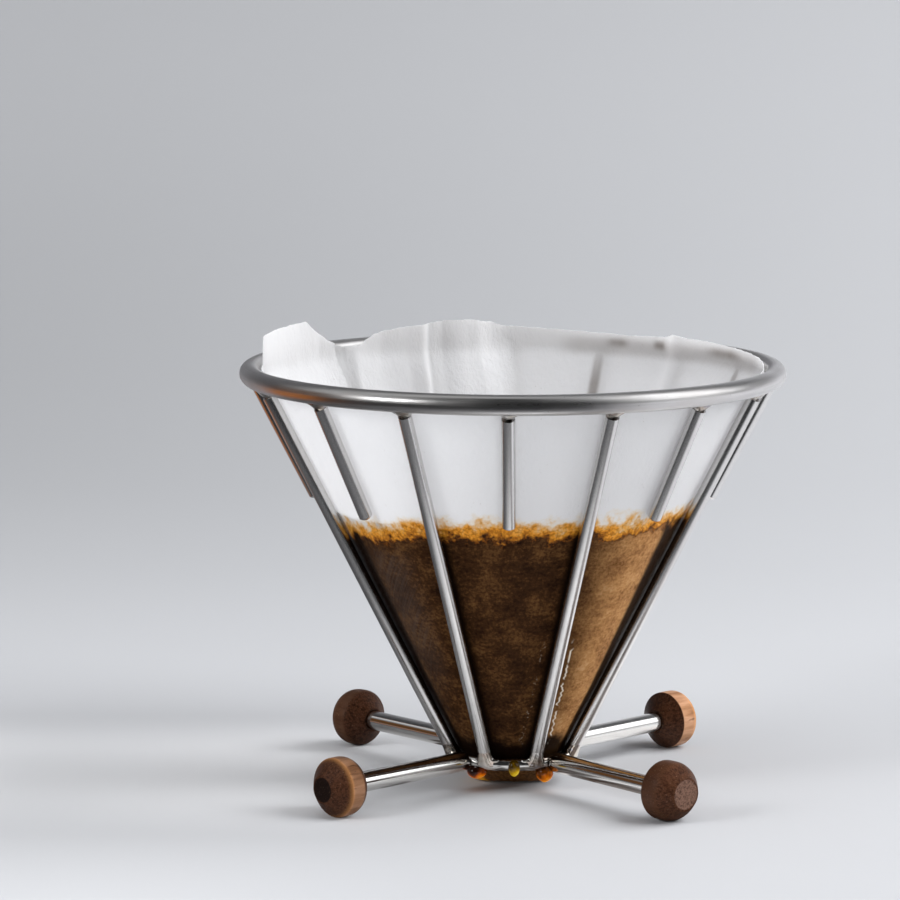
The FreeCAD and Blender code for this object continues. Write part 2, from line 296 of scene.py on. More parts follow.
def weld_steel(name, lightness, roughness):
    """Lumpy weld metal: bright where it froze smooth, brown and blue where it was hottest."""
    graph = new_material(name)
    vector = graph.place()[0]
    lumps = graph.noise(vector, 700, 4, 0.6)
    soot = graph.ease(graph.noise(vector, 420, 4, 0.65), 0.5, 0.66)
    tint = graph.ramp(graph.noise(vector, 260, 2, 0.5), [
        (0.34, 0.62, 0.61, 0.6), (0.5, 0.64, 0.6, 0.54), (0.6, 0.5, 0.42, 0.36),
        (0.7, 0.48, 0.48, 0.52), (0.8, 0.62, 0.61, 0.6),
    ])
    tint = graph.mix(1 - lightness, tint, BLACK)
    colour = graph.mix(soot * 0.3, tint, (0.07, 0.05, 0.045))
    # Nearly black in the notches above the ribs' flat ends: heat tint together with painted shade of the
    # notch.
    colour = graph.mix(graph.stored("notch_tint_and_shade") * 0.92, colour, (0.035, 0.02, 0.014))
    return principled(graph, {
        "Base Color": colour,
        "Metallic": 1.0,
        "Roughness": graph.spread(lumps, 0.3, 0.7, roughness * 0.7, roughness * 1.3),
        "Normal": graph.bump(lumps, 0.05 * MM, 0.4),
    })


def dress_steel():
    """Give the CAD rods their materials."""
    rib = steel("rib_steel", "rib", 0.25, (0.68, 0.67, 0.66), 0.05)
    leg = steel("leg_steel", "leg", 0.1, (0.74, 0.73, 0.71), 0.3)
    looks = {f"leg_{side}": leg for side in SIDES}
    looks["top_ring"] = steel("top_ring_steel", "ring", 0.34, (0.59, 0.58, 0.575))
    looks["lower_ring"] = steel("lower_ring_steel", "ring", 0.12, (0.72, 0.71, 0.69))
    for name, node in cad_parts.items():
        if "_rib_" in name:
            paint(node, rib)
        elif name in looks:
            paint(node, looks[name])


def paint(item, material):
    """Put one material on an object's slot, without touching the mesh."""
    if not item.material_slots:
        item.data.materials.append(material)
    for slot in item.material_slots:
        slot.link = "OBJECT"
        slot.material = material


# ---- Mesh helpers


def new_object(name, data):
    item = bpy.data.objects.new(name, data)
    bpy.context.scene.collection.objects.link(item)
    return item


def add_object(name, data, body, material):
    """Link a mesh as a piece that rides on a body."""
    item = new_object(name, data)
    data.materials.append(material)
    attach(item, body)
    return item


def shade_smooth(data):
    data.polygons.foreach_set("use_smooth", [True] * len(data.polygons))
    data.update()


def mesh_from(name, vertices, faces):
    data = bpy.data.meshes.new(name)
    data.from_pydata([tuple(v) for v in vertices], [], [tuple(f) for f in faces])
    data.validate()
    shade_smooth(data)
    return data


def move_vertices(data, points):
    data.vertices.foreach_set("co", points.astype(np.float32).ravel())
    shade_smooth(data)


def store(data, name, values):
    """Keep a number on each vertex, for a material to read."""
    data.attributes.new(name, "FLOAT", "POINT").data.foreach_set("value", values)


def wrap_grid(rows, columns, first=0):
    """Faces of a grid whose last column joins its first."""
    faces = []
    for row in range(rows - 1):
        for column in range(columns):
            after = (column + 1) % columns
            a = first + row * columns
            b = a + columns
            faces.append((a + column, a + after, b + after, b + column))
    return faces


def smooth_step(low, high, value):
    share = np.clip((value - low) / (high - low), 0, 1)
    return share * share * (3 - 2 * share)


def curve_through(points, at, ease):
    """A closed curve's values round the axis, in degrees. ease is 0 for straight runs, 1 for soft ones."""
    angles, values = np.array(sorted(points), float).T
    angles = np.concatenate((angles - 360, angles, angles + 360))
    values = np.tile(values, 3)
    index = np.clip(np.searchsorted(angles, at, side="right") - 1, 0, len(angles) - 2)
    share = (at - angles[index]) / (angles[index + 1] - angles[index])
    eased = share * share * (3 - 2 * share)
    share = share * (1 - ease) + eased * ease
    return values[index] * (1 - share) + values[index + 1] * share


def noise_field(points, scale, seed):
    """Smooth noise from -1 to 1 at each point."""
    shift = Vector((seed * 11.3, seed * 5.7, seed * 2.9))
    return np.array([noise.noise(Vector(p) * scale + shift) for p in points])


# ---- Knobs

OUTER_CREASE_AT = 0.69
# Hand-turned differences between the knobs: how much the inner and the outer crease are rounded, as
# shares of the length, the flat end's share of the radius, how light the long grain is, which is painted
# light and shade, high on the knobs the light falls on and low on the shaded ones, and how pale
# the worn flat end is, or how dark if below zero.
KNOB_TRAITS = {
    "front_left": (0.25, 0.045, 0.46, 0.4, -1.0),
    "front_right": (0.07, 0.23, 0.56, 0.02, 0.9),
    "back_right": (0.02, 0.09, 0.51, 0.85, 0.3),
    "back_left": (0.12, 0.16, 0.52, 0.06, 0.2),
}


def knob_outline(inner_crease, outer_crease, flat_end):
    """The knob's outline as shares of its length and of its radius: (along, out, rounding)."""
    return [
        (0.000, 0.414, 0.02),
        (0.29, 1.000, inner_crease),
        (OUTER_CREASE_AT, 1.000, outer_crease),
        (1.000, flat_end, 0.02),
    ]


def rounded_outline(corners, steps=7, per_side=9):
    """An outline with its inner corners rounded by short curves, and its sides cut into short steps."""
    line = [np.array(corners[0][:2])]
    for before, corner, after in zip(corners, corners[1:], corners[2:]):
        here = np.array(corner[:2])
        back = np.array(before[:2]) - here
        on = np.array(after[:2]) - here
        cut = corner[2]
        start = here + back / np.linalg.norm(back) * min(cut, np.linalg.norm(back) * 0.45)
        end = here + on / np.linalg.norm(on) * min(cut, np.linalg.norm(on) * 0.45)
        line.extend(np.linspace(line[-1], start, per_side + 1)[1:-1])
        for k in range(steps + 1):
            t = k / steps
            line.append((1 - t) ** 2 * start + 2 * t * (1 - t) * here + t * t * end)
    line.extend(np.linspace(line[-1], corners[-1][:2], per_side + 1)[1:])
    return line


def walnut(name, seed, lightness, wear):
    """Oiled walnut: end grain on the faces, long grain round the barrel, open pores."""
    graph = new_material(name)
    vector = graph.place()[0]
    place = graph.vector_math("ADD", vector, (seed * 0.031, seed * 0.017, seed * 0.011))
    along, across, upwards = graph.split(place)
    grain_space = graph.combine(along * 0.12, across, upwards)
    rings = graph.noise(grain_space, 420, 3, 0.55, 0.4)
    streaks = graph.noise(grain_space, 1900, 5, 0.7)
    cloud = graph.noise(place, 190, 3, 0.5)
    facing = graph.stored("end_grain")
    lit_side_grain = graph.ramp(rings, [
        (0.25, 0.15, 0.066, 0.03), (0.45, 0.4, 0.2, 0.1), (0.6, 0.56, 0.31, 0.18),
        (0.78, 0.3, 0.14, 0.068),
    ])
    shaded_side_grain = graph.mix(rings, (0.022, 0.008, 0.004), (0.075, 0.029, 0.014))
    # Painted light and shade: each knob's lightness mixes a lit and a shaded copy of the long grain.
    side = graph.mix(lightness, shaded_side_grain, lit_side_grain)
    dark = graph.mix(cloud, (0.006, 0.0019, 0.0009), (0.034, 0.0115, 0.005))
    ends = graph.mix(graph.spread(streaks, 0.38, 0.66), dark, (0.092, 0.036, 0.017))
    if wear > 0:
        depth = 0.6 * wear
        flat = graph.mix(graph.spread(streaks, 0.35, 0.65), (0.04, 0.02, 0.014), (0.3, 0.18, 0.135))
    else:
        depth = -0.92 * wear
        flat = (0.0035, 0.0014, 0.0009)
    ends = graph.mix(graph.ease(facing, 0.96, 0.99) * depth, ends, flat)
    colour = graph.mix(graph.ease(facing, 0.25, 0.5), side, ends)
    # Painted highlight: a bright orange line along the outer crease, as strong as the knob's painted light.
    colour = graph.mix(graph.stored("crease") * (0.8 * lightness), colour, (0.66, 0.3, 0.1))
    pores = graph.ease(streaks, 0.56, 0.7)
    colour = graph.mix(pores * 0.65, colour, (0.02, 0.009, 0.005))
    flecks = graph.ease(graph.noise(place, 3600, 2, 0.5), 0.64, 0.74)
    colour = graph.mix(flecks * 0.28, colour, (0.4, 0.25, 0.17))
    relief = graph.bump(streaks, 0.09 * MM, 0.6)
    return principled(graph, {
        "Base Color": colour,
        "Roughness": graph.spread(streaks, 0.3, 0.7, 0.38, 0.6),
        "Specular IOR Level": 0.11,
        "Normal": graph.bump(pores, -0.07 * MM, 0.7, relief),
    })


def knob_line(side, length, radius, socket_end, socket_radius):
    """A knob's closed outline, from the bottom of its socket round to the middle of its flat end."""
    shares = knob_outline(*KNOB_TRAITS[side][:3])
    outline = rounded_outline([(along * length, out * radius, cut * length) for along, out, cut in shares])
    socket = [(socket_end, 0.0), (socket_end, socket_radius * 0.98)]
    socket += [(0.3 * MM, socket_radius), (0.0, socket_radius + 0.15 * MM)]
    face_at, face_radius = outline[-1]
    face = [(face_at, face_radius * share) for share in (0.85, 0.65, 0.45, 0.25, 0.0)]
    return socket + outline + face


def lathe(line, columns):
    """Vertices and faces of an outline turned about X, where its first and last points lie."""
    rings = line[1:-1]
    vertices = [(line[0][0], 0, 0)]
    for along, out in rings:
        for column in range(columns):
            turn = 2 * math.pi * column / columns
            vertices.append((along, out * math.sin(turn), out * math.cos(turn)))
    vertices.append((line[-1][0], 0, 0))
    faces = wrap_grid(len(rings), columns, 1)
    last = len(vertices) - 1
    tail = last - columns
    for column in range(columns):
        after = (column + 1) % columns
        faces.append((0, 1 + after, 1 + column))
        faces.append((last, tail + column, tail + after))
    return np.array(vertices), faces


def hand_turned(points, seed, socket_radius, radius):
    """Swell a turned shape a little unevenly, but not its socket and not beyond its full radius."""
    out = np.linalg.norm(points[:, 1:], axis=1)
    swell = noise_field(points, 110, seed) * 0.12 * MM + noise_field(points, 420, seed + 3) * 0.03 * MM
    swell *= smooth_step(socket_radius * 1.2, socket_radius * 1.6, out)
    guard = smooth_step(radius * 0.8, radius, out)
    swell = np.where(swell > 0, swell * (1 - guard), swell)
    points[:, 1:] *= (1 + swell / np.maximum(out, 1e-6))[:, None]
    return points


def build_knob(side, seed):
    """A turned knob with a socket for its leg, its local X along the leg."""
    node = f"knob_{side}"
    direction = outward(node)
    begin, finish = reach_along(node, direction)
    low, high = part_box(node)
    radius = (high.z - low.z) / 2
    length = finish - begin
    leg_low, leg_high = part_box(f"leg_{side}")
    socket_radius = (leg_high.z - leg_low.z) / 2 + 0.02 * MM
    socket_end = reach_along(f"leg_{side}", direction)[1] + 0.05 * MM - begin
    points, faces = lathe(knob_line(side, length, radius, socket_end, socket_radius), 112)
    data = mesh_from(f"wood_{node}", hand_turned(points, seed, socket_radius, radius), faces)
    mark_grain(data, OUTER_CREASE_AT * length)
    lightness, wear = KNOB_TRAITS[side][3:]
    wood = walnut(f"walnut_{side}", seed, lightness, wear)
    item = add_object(f"walnut_{node}", data, "frame", wood)
    place = Matrix.Translation(direction * begin + Vector((0, 0, (low.z + high.z) / 2)))
    heading = Matrix.Rotation(math.atan2(direction.y, direction.x), 4, "Z")
    item.matrix_world = place @ heading @ Matrix.Rotation(seed * 0.9, 4, "X")
    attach(item, "frame")
    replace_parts(item, node)


def mark_grain(data, crease_at):
    """Store how squarely each vertex faces along the grain, and how near it is to the outer crease."""
    store(data, "end_grain", [abs(vertex.normal.x) for vertex in data.vertices])
    store(data, "crease", np.exp(-((places(data)[:, 0] - crease_at) / (0.45 * MM)) ** 2))


# ---- Paper

# Height of the paper's edge above the middle of the top ring, in millimetres, round the basket in
# degrees from the front: low behind the front of the ring, a square tab at the left, a dip, and a
# raised fold at the back left.
RIM_HEIGHTS = [
    (-91.5, 1.2), (-93, 7.7), (-105, 8.1), (-118.5, 8.6), (-122.5, 5.6), (-125.5, 3.4), (-130, 1.8),
    (-134, 1.2), (-137.5, 1.2), (-139.5, 2.4), (-142.5, 4.0), (-147, 4.7), (-152, 5.3), (-156, 5.8),
    (-162, 6.3), (-168, 6.4), (-173, 5.7), (-177, 4.5), (176, 4.0), (161, 3.2), (151, 2.8), (141, 3.2),
    (138, 4.0), (134, 3.4), (125, 3.1), (110, 2.6), (97, 2.2), (88, 1.4), (45, 0.6), (0, 0.4), (-45, 0.6),
]
# How far the upper paper stands in from the ribs and the ring, in millimetres, by the same degrees.
FOLD_DEPTHS = [
    (-95, 0.0), (-108, 0.3), (-116, 0.9), (-122.5, 2.2), (-127.2, 3.7), (-128.4, 0.2), (-134, 0.4),
    (-138.5, 2.2), (-144, 2.3), (-151, 3.3), (-155.5, 5.2), (-156.8, 4.0), (-161, 2.6), (-166, 3.2),
    (-170, 3.2), (-174, 1.3), (-178, 0.2), (170, 0.0), (160, 0.1), (145, 0.1), (140, 0.3), (138, 1.2),
    (135.5, 0.4), (125, 0.1), (100, 0.0), (60, 0.0), (0, 0.0), (-60, 0.0),
]
# How light the dry paper is painted, by the same degrees: painted light and shade on the folds, darker where
# two layers lie together.
PAINTED_PANEL_LIGHT = [
    (-92, 0.96), (-100, 1.0), (-126.3, 1.0), (-127.5, 0.76), (-129, 0.74), (-133.6, 0.8), (-135.4, 0.97),
    (-146, 0.93), (-154, 0.97), (-155.3, 1.07), (-156.4, 0.84), (-162, 0.91), (-167, 1.02), (-173, 1.02),
    (-179, 0.94), (165, 0.98), (142, 1.0), (139, 1.07), (136, 1.0), (110, 1.0), (95, 1.0), (80, 1.0),
    (-80, 1.0),
]


def bulge_between(azimuth, contacts, depth):
    """Swelling of the paper between the rods that hold it, nothing at each rod."""
    spacing = 2 * math.pi / len(contacts)
    phase = (azimuth - contacts[0]) / spacing
    return depth * np.abs(np.sin(math.pi * phase)) ** 1.4


def lean_of_folds(degrees, height):
    """The turns, in degrees, at which to read the fold curves: the folds lean as they run down."""
    drop = np.clip((RING_HEIGHT + 2 * MM - height) / (12 * MM), 0, 2)
    panel_edge = np.exp(-((degrees + 138) / 4) ** 2)
    spread = smooth_step(-163, -178, degrees)
    tab_fold = np.exp(-((degrees + 128) / 4) ** 2)
    return degrees - 6 * drop * panel_edge + 3 * drop * spread + 3 * drop * tab_fold


def paper_surface(azimuth, share):
    """Points of the paper's outside at an azimuth and a share of the way from tip to edge."""
    degrees = np.degrees(azimuth)
    edge = RING_HEIGHT + curve_through(RIM_HEIGHTS, degrees, 0.4) * MM
    height = TIP_HEIGHT + (edge - TIP_HEIGHT) * share
    above = height - LOWER_HEIGHT
    radius = PAPER_FOOT_RADIUS + above * math.tan(SLANT)
    soft = 0.35 * MM
    radius = PAPER_RIM_RADIUS - np.log1p(np.exp((PAPER_RIM_RADIUS - radius) / soft)) * soft
    upper = smooth_step(SHORT_TIP_HEIGHT - 7 * MM, SHORT_TIP_HEIGHT - 0.5 * MM, height)
    wet = smooth_step(LOWER_HEIGHT + 4 * MM, LOWER_HEIGHT + 22 * MM, height)
    near_ring = 1 - smooth_step(RING_HEIGHT - 9 * MM, RING_HEIGHT - 2 * MM, height)
    every = bulge_between(azimuth, SHORT_RIBS + LONG_RIBS, 0.22 * MM)
    longer = bulge_between(azimuth, LONG_RIBS, 0.85 * MM)
    radius = radius + (every * upper + longer * (1 - upper)) * wet * near_ring
    fold = curve_through(FOLD_DEPTHS, lean_of_folds(degrees, height), 0.25) * MM
    radius = radius - fold * smooth_step(0.066, RING_HEIGHT, height)
    return radius, height


def taper_tip(points, gap=0.0):
    """Narrow the part below the lower ring and press it flatter towards its closed end."""
    share = np.clip((points[:, 2] - TIP_HEIGHT) / (LOWER_HEIGHT - TIP_HEIGHT), 0, 1)
    below = points[:, 2] < LOWER_HEIGHT
    angle = np.arctan2(points[:, 0], -points[:, 1])
    end_width, end_depth = 9.6 * MM, 4.6 * MM
    width = end_width + (PAPER_FOOT_RADIUS - end_width) * share ** 1.6 - gap
    depth = end_depth + (PAPER_FOOT_RADIUS - end_depth) * share - gap
    points[below, 0] = (width * np.sin(angle))[below]
    points[below, 1] = (-depth * np.cos(angle))[below]
    return points


def paper_azimuths():
    """Columns round the paper, closer together at the folds."""
    folds = np.radians(np.linspace(-180, -88, 190, endpoint=False))
    rest = np.radians(np.linspace(-88, 180, 250, endpoint=False))
    return np.concatenate((folds, rest))


def build_paper():
    """One sheet of wet paper from its closed tip to its cut edge."""
    azimuths = paper_azimuths()
    columns, rows, tip_rows, tip_share = len(azimuths), 100, 8, 0.055
    tip_shares = np.linspace(0, tip_share, tip_rows, endpoint=False)
    shares = np.concatenate((tip_shares, np.linspace(tip_share, 1, rows - tip_rows)))
    azimuth, share = np.meshgrid(azimuths, shares)
    radius, height = paper_surface(azimuth, share)
    points = np.stack((radius * np.sin(azimuth), -radius * np.cos(azimuth), height), axis=-1)
    points = taper_tip(points.reshape(-1, 3))
    stretched = points * np.array((1, 1, 0.3))
    waves = noise_field(stretched, 130, SEED) * 0.16 * MM + noise_field(stretched, 420, SEED + 1) * 0.05 * MM
    calm = smooth_step(TIP_HEIGHT + 4 * MM, LOWER_HEIGHT + 12 * MM, points[:, 2])
    level = np.linalg.norm(points[:, :2], axis=1)
    points[:, :2] *= (1 - np.abs(waves) * calm / np.maximum(level, 1e-5))[:, None]
    points[-columns:, 2] += noise_field(points[-columns:], 900, SEED + 2) * 0.22 * MM
    faces = wrap_grid(rows, columns)
    floor = len(points)
    points = np.vstack((points, [[0, 0, TIP_HEIGHT]]))
    faces += [(floor, (column + 1) % columns, column) for column in range(columns)]
    skin = mesh_from("paper_skin", points, faces)
    light = curve_through(PAINTED_PANEL_LIGHT, lean_of_folds(np.degrees(azimuth), height), 0.5)
    store(skin, "painted_panel_light", np.append(light.ravel(), 1.0))
    material = wet_paper()
    item = add_object("paper_skin", skin, "filter", material)
    wall = item.modifiers.new("wall", "SOLIDIFY")
    wall.thickness = 0.22 * MM
    wall.offset = -1
    sheet = bpy.data.meshes.new_from_object(item.evaluated_get(bpy.context.evaluated_depsgraph_get()))
    bpy.data.objects.remove(item)
    sheet.materials.clear()
    sheet.set_sharp_from_angle(angle=math.radians(42))
    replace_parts(add_object("filter_sheet", sheet, "filter", material), "paper_filter")


# ---- The paper's colours

# Brown marks of painted shadow on the paper's inside, where it lies on the ring: turn from the front and
# half width, in degrees.
RING_SHADOW_MARKS = [(154.5, 3.2), (142.8, 2.0), (119.5, 7.5)]
# Turns of the two ribs whose shadows show on the paper's inside, in degrees.
ROD_SHADOWS = [159.2, 112.8]


class PaperPlace:
    """Where a point of the paper is, and the textures that several of its colours share."""

    def __init__(self, graph):
        self.vector, self.radius, self.azimuth, self.height = graph.cylinder()
        self.patches = graph.noise(self.vector, 130, 4, 0.6)
        self.grains = graph.noise(self.vector, 1250, 4, 0.7)
        wander = graph.noise(self.vector, 75, 4, 0.62)
        lobes = graph.noise(self.vector, 300, 2, 0.5)
        level = self.height - COFFEE_LEVEL
        for texture, reach in ((wander, 1.2 * MM), (lobes, 1.1 * MM), (self.grains, 0.7 * MM)):
            level = level + graph.spread(texture, 0.3, 0.7, -reach, reach)
        # Height above the ragged tide line, which stands lower at the left.
        self.level = level + graph.turn_ease(self.azimuth, -12, -58, 0.0, 3.4 * MM)


def tide_colour(graph, paper):
    """A granular amber line that fades to white above it, with froth along it."""
    tide = graph.ramp(graph.spread(paper.level, -3 * MM, 4.2 * MM), [
        (0.1, 0.03, 0.012, 0.005), (0.17, 0.12, 0.045, 0.012), (0.24, 0.54, 0.205, 0.018),
        (0.36, 0.79, 0.33, 0.028), (0.48, 0.81, 0.43, 0.09), (0.6, 0.8, 0.59, 0.35),
        (0.72, 0.85, 0.8, 0.73), (0.9, 0.875, 0.875, 0.88),
    ])
    # Painted light and shade of the paper's fold panels, kept on the mesh.
    panels = graph.stored("painted_panel_light")
    tide = graph.mix(1.0, tide, graph.combine(panels, panels, panels), "MULTIPLY")
    bubbles = graph.cells(graph.noise_warp(paper.vector, 500, 0.6 * MM), 1500)
    froth = graph.ease(bubbles, 0.4, 0.7) * graph.ease(paper.level, 1.6 * MM, -0.4 * MM)
    return graph.mix(froth * 0.6, tide, (0.3, 0.09, 0.008))


def soaked_colour(graph, paper):
    """Coffee seen through the wet paper: nearly black, and brown at the right from painted light."""
    creases = graph.noise(graph.combine(paper.azimuth * 0.006, 0.0, paper.height), 900, 4, 0.6, 0.2)
    blotch = paper.patches * 0.42 + paper.grains * 0.42 + creases * 0.16
    dark = graph.ramp(blotch, [
        (0.38, 0.014, 0.005, 0.002), (0.5, 0.044, 0.018, 0.006), (0.62, 0.13, 0.06, 0.02),
    ])
    lit = graph.ramp(blotch, [
        (0.36, 0.12, 0.045, 0.01), (0.46, 0.3, 0.14, 0.05), (0.56, 0.47, 0.24, 0.09),
        (0.66, 0.56, 0.33, 0.16),
    ])
    return graph.mix(graph.sector(paper.azimuth, 21, 48, 95, 150), dark, lit)


def rib_nearness(graph, paper, contacts, width):
    """1 on the lines where the paper lies on the rods, fading out over a width in metres."""
    spacing = 2 * math.pi / len(contacts)
    turned = graph.math("DIVIDE", paper.azimuth - contacts[0], spacing)
    away = abs(turned - graph.math("ROUND", turned)) * spacing
    return graph.ease(away * paper.radius, width, width * 0.35)


def pressed_strips_and_side_shade(graph, paper):
    """Dark strips where the soaked paper is pressed on the long ribs, partly painted shade beside them, and
    painted shade at its two sides, where it turns away.
    """
    rods = rib_nearness(graph, paper, LONG_RIBS, 3.2 * MM)
    # Painted shade at both sides of the cone, where the paper turns away.
    sides = graph.sector(abs(paper.azimuth), 54, 57.5, 76, 84)
    return graph.larger(rods, sides) * graph.ease(paper.level, 1.0 * MM, -3 * MM) * 0.96


def inside_shadows(graph, paper):
    """On the paper's inside: painted soft shadows of two ribs and of the ring, and painted shadow marks
    along the ring.
    """
    ribs = 0.0
    for turn in ROD_SHADOWS:
        away = abs(paper.azimuth - math.radians(turn)) * paper.radius
        ribs = graph.larger(ribs, graph.ease(away, 1.9 * MM, 0.5 * MM))
    ribs = ribs * graph.spread(paper.height, RING_HEIGHT + 1.0 * MM, RING_HEIGHT - 9 * MM)
    from_ring = abs(paper.height - (RING_HEIGHT - 0.2 * MM))
    band = graph.ease(from_ring, 3.2 * MM, 0.8 * MM) * 0.2
    ring_shadow_marks = 0.0
    for turn, half_width in RING_SHADOW_MARKS:
        away = abs(paper.azimuth - math.radians(turn))
        ring_shadow_marks = graph.larger(ring_shadow_marks, graph.turn_ease(away, half_width * 1.3, half_width * 0.2))
    clouds = graph.noise(paper.vector, 120, 2, 0.5)
    ring_shadow_marks = ring_shadow_marks * graph.spread(clouds, 0.35, 0.65, 0.3, 0.5)
    from_line = abs(paper.height - (RING_HEIGHT + 0.9 * MM))
    ring_shadow_marks = ring_shadow_marks * graph.ease(from_line, 1.9 * MM, 0.0)
    inside = graph.sector(paper.azimuth, 96, 106, 164, 172) * graph.ease(paper.level, 4 * MM, 12 * MM)
    return graph.larger(ribs * 0.52, band + ring_shadow_marks) * inside


def sheen_streaks(graph, paper):
    """Slanting streaks of light on the soaked paper, left of the middle."""
    slant = graph.combine(paper.azimuth * 0.04 - paper.height, 0.0, paper.height * 0.04)
    streaks = graph.spread(graph.noise(slant, 1500, 3, 0.6), 0.35, 0.65, 0.25, 0.85)
    rise = graph.ease(paper.height, 20 * MM, 42 * MM) * graph.ease(paper.level, -2 * MM, -8 * MM)
    return streaks * rise * graph.sector(paper.azimuth, -62, -50, -44, -30) * 0.55


def pool_shade(graph, paper):
    """The black pool of coffee just above the tip."""
    ragged = paper.height + graph.spread(paper.patches, 0.3, 0.7, -1.5 * MM, 1.5 * MM)
    return graph.ease(ragged, 15 * MM, 11.5 * MM) * graph.ease(paper.height, 5.6 * MM, 7.0 * MM) * 0.96


def tip_colour(graph, paper):
    """The tip below the lower ring: brown, and amber at the left."""
    brown = graph.mix(graph.spread(paper.grains, 0.35, 0.65), (0.045, 0.018, 0.006), (0.19, 0.09, 0.032))
    return graph.mix(graph.turn_ease(paper.azimuth, -52, -66), brown, (0.7, 0.33, 0.03))


def coffee_flecks(graph, paper):
    """Specks of ground coffee, in patches."""
    specks = graph.ease(graph.cells(paper.vector, 1100), 0.1, 0.04)
    return specks * graph.ease(graph.noise(paper.vector, 210, 2, 0.5), 0.6, 0.66) * 0.85


def wet_glint(graph, paper):
    """A wavy bright line of water beside one front rib, with a few beads on its other side."""
    wave = graph.noise(graph.combine(0.0, 0.0, paper.height), 640, 1, 0.4)
    from_rib = (paper.azimuth - LONG_RIBS[0]) * paper.radius
    line = abs(from_rib - graph.spread(wave, 0.36, 0.64, 3.3 * MM, 4.3 * MM))
    beads = abs(from_rib + graph.spread(wave, 0.36, 0.64, 3.0 * MM, 4.0 * MM))
    beads = graph.ease(beads, 0.28 * MM, 0.1 * MM) * graph.ease(paper.grains, 0.54, 0.62, 0.0, 0.4)
    glint = graph.larger(graph.ease(line, 0.3 * MM, 0.1 * MM), beads)
    broken = graph.ease(graph.noise(paper.vector, 260, 2, 0.5), 0.34, 0.46)
    return glint * graph.between(paper.height, 11 * MM, 14 * MM, 36 * MM, 40 * MM) * broken * 0.75


def wet_paper():
    """Wet filter paper: white above, a granular amber tide line, and coffee showing through below."""
    graph = new_material("wet_filter_paper")
    paper = PaperPlace(graph)
    above = graph.ease(paper.level, -3.0 * MM, -1.8 * MM)
    colour = graph.mix(above, soaked_colour(graph, paper), tide_colour(graph, paper))
    # Besides the pool, the tip and the coffee flecks, these layers paint shade by the ribs and at the sides,
    # shadows inside, a sheen, and a glint of light.
    layers = [
        (pressed_strips_and_side_shade(graph, paper), (0.006, 0.0025, 0.0012)),
        (inside_shadows(graph, paper), (0.18, 0.135, 0.105)),
        (sheen_streaks(graph, paper), (0.095, 0.068, 0.055)),
        (pool_shade(graph, paper), (0.004, 0.0015, 0.0008)),
        (graph.ease(paper.height, 5.4 * MM, 4.2 * MM), tip_colour(graph, paper)),
        (coffee_flecks(graph, paper), (0.16, 0.075, 0.03)),
        (wet_glint(graph, paper), (0.9, 0.83, 0.7)),
    ]
    for share, layer in layers:
        colour = graph.mix(share, colour, layer)
    squeezed = graph.vector_math("MULTIPLY", paper.vector, (1, 1, 0.45))
    fibres = graph.noise(paper.vector, 2600, 4, 0.65)
    crepe = graph.noise(squeezed, 1500, 3, 0.6, 0.3)
    crinkle = graph.noise(squeezed, 780, 4, 0.65, 0.4)
    crinkled = graph.turn_ease(paper.azimuth, -150, -164, 0.5, 1.0)
    crinkled = crinkled * graph.ease(paper.level, 2 * MM, 8 * MM, 0.05, 0.9)
    relief = graph.bump(crinkle, 0.4 * MM, crinkled)
    relief = graph.bump(crepe, 0.1 * MM, 0.6, relief)
    relief = graph.bump(fibres, 0.05 * MM, 0.45, relief)
    shell = graph.value("ShaderNodeBsdfPrincipled", {
        "Base Color": colour,
        "Roughness": graph.spread(crepe, 0.3, 0.7, 0.34, 0.52),
        "Specular IOR Level": graph.ease(paper.level, -3 * MM, 3 * MM, 0.03, 0.3),
        "Normal": relief,
    })
    through = graph.value("ShaderNodeBsdfTranslucent", {"Color": colour, "Normal": relief})
    share = graph.ease(paper.level, -3 * MM, 5 * MM, 0.1, 0.55)
    return finished(graph, graph.value("ShaderNodeMixShader", {0: share, 1: shell, 2: through}))


# ---- Coffee


def coffee_material():
    """Wet grounds with a tan foam that gathers at the paper."""
    graph = new_material("coffee_and_foam")
    vector, _, _, height = graph.place()
    grains = graph.noise(vector, 1400, 5, 0.7)
    patches = graph.noise(vector, 120, 4, 0.6)
    rise = graph.spread(height, COFFEE_LEVEL - 2.0 * MM, COFFEE_LEVEL - 0.3 * MM)
    mottle = graph.spread(grains, 0.35, 0.65)
    dark = graph.mix(mottle, (0.018, 0.007, 0.003), (0.075, 0.032, 0.012))
    light = graph.mix(mottle, (0.3, 0.15, 0.055), (0.55, 0.34, 0.17))
    return principled(graph, {
        "Base Color": graph.mix(rise * graph.ease(patches, 0.42, 0.62), dark, light),
        "Roughness": graph.spread(grains, 0.3, 0.7, 0.22, 0.55),
        "Coat Weight": 0.4,
        "Coat Roughness": 0.08,
        "Normal": graph.bump(grains, 0.12 * MM, 0.6),
    })


def bubble_heights(points, count, seed):
    """Domes of bubbles of many sizes, crowded towards the paper."""
    random.seed(seed)
    reach = PAPER_FOOT_RADIUS + (COFFEE_LEVEL - LOWER_HEIGHT) * math.tan(SLANT)
    heights = np.zeros(len(points))
    for _ in range(count):
        out = reach * math.sqrt(random.random()) ** 0.6
        turn = random.uniform(0, 2 * math.pi)
        size = random.choice((0.5, 0.7, 0.9, 1.2, 1.7)) * MM
        spot = np.array((out * math.cos(turn), out * math.sin(turn)))
        away = np.sum((points[:, :2] - spot) ** 2, axis=1)
        dome = np.sqrt(np.maximum(size * size - away, 0)) * 0.7
        heights = np.maximum(heights, dome)
    return heights


